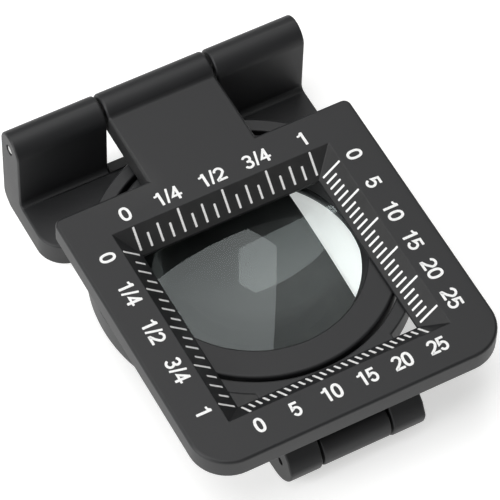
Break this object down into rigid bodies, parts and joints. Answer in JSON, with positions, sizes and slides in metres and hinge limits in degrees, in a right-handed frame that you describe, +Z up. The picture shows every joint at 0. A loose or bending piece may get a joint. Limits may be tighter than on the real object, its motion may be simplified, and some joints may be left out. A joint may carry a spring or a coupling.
{
  "type": "folding hand lens",
  "caption": "Folding hand lens with a square window plate marked in inches and millimetres, an upright stand and a nested round lens holder.",
  "frame": {"origin": "middle of the bounding box in X and Y, on the surface that the folded lens lies on", "axes": "+X along both hinge pins, +Y from the front hinge to the rear hinge, +Z up, out of the marked face of the scale plate"},
  "size_m": [0.0426, 0.0578, 0.0154],
  "materials": {
    "black_casting": "satin",
    "black_anodised": "matte",
    "lens_glass": "polished",
    "pin_steel": "satin"
  },
  "bodies": {
    "stand": {"stand_frame": "black_casting", "rear_hinge_pin": "pin_steel", "front_hinge_pin": "pin_steel"},
    "scale": {"scale_plate": "black_casting"},
    "lens_mount": {"lens_holder": "black_casting", "lens": "lens_glass", "lens_retainer": "black_anodised"}
  },
  "joints": [
    {"name": "scale_hinge", "type": "hinge", "parent": "stand", "child": "scale", "pos_m": [0, 0.02647, 0.01297], "axis": [-1, 0, 0], "range_deg": [0, 270]},
    {"name": "lens_hinge", "type": "hinge", "parent": "stand", "child": "lens_mount", "pos_m": [0, -0.02604, 0.00435], "axis": [-1, 0, 0], "range_deg": [0, 90]}
  ]
}
